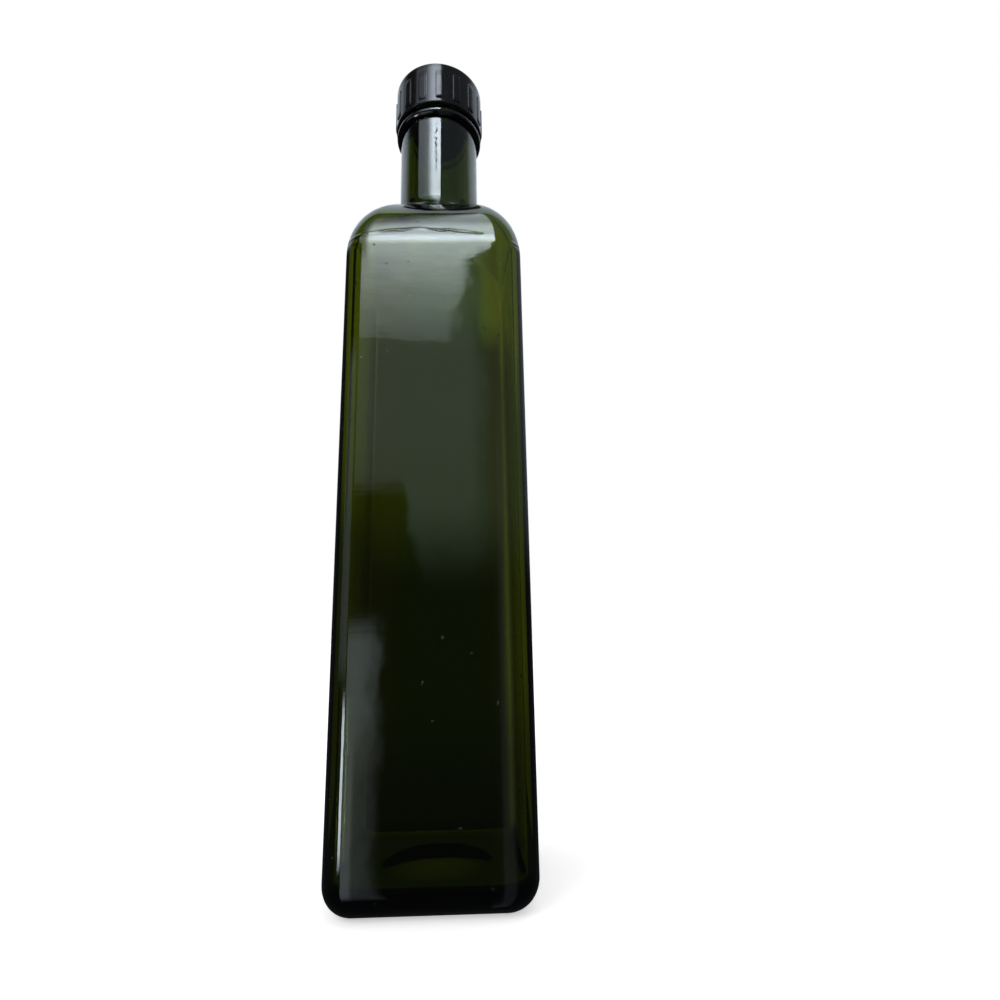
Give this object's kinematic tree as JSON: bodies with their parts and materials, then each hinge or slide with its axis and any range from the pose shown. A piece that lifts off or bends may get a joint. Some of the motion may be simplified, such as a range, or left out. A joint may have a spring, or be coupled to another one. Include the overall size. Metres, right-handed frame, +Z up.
{
  "type": "glass oil bottle",
  "caption": "Tall square olive-green glass oil bottle with rounded shoulders, a straight round neck and a ribbed black screw cap that unscrews and lifts off.",
  "frame": {"origin": "centre of the base, on the surface that the bottle stands on", "axes": "+Z up the bottle's axis through the neck and cap, +X and +Y square to two of the flat sides, -Y the side seen in the picture"},
  "size_m": [0.057, 0.057, 0.2747],
  "materials": {
    "green_glass": "fire-polished container glass, dark olive green",
    "black_plastic": "injection-moulded polypropylene, glossy black",
    "white_foam": "die-cut foamed polyethylene sheet, white"
  },
  "bodies": {
    "bottle": {"glass_bottle": "green_glass"},
    "liner": {"cap_liner": "white_foam"},
    "cap": {"screw_cap": "black_plastic"}
  },
  "joints": [
    {"name": "cap_rise", "type": "slide", "parent": "bottle", "child": "liner", "axis": [0, 0, 1], "range_m": [0, 0.0241]},
    {"name": "cap_turn", "type": "hinge", "parent": "liner", "child": "cap", "pos_m": [0, 0, 0.2715], "axis": [0, 0, 1], "range_deg": [0, 2160]}
  ],
  "couplings": [
    {"joint": "cap_rise", "follows": "cap_turn", "m_per_rad": 0.00063662}
  ]
}
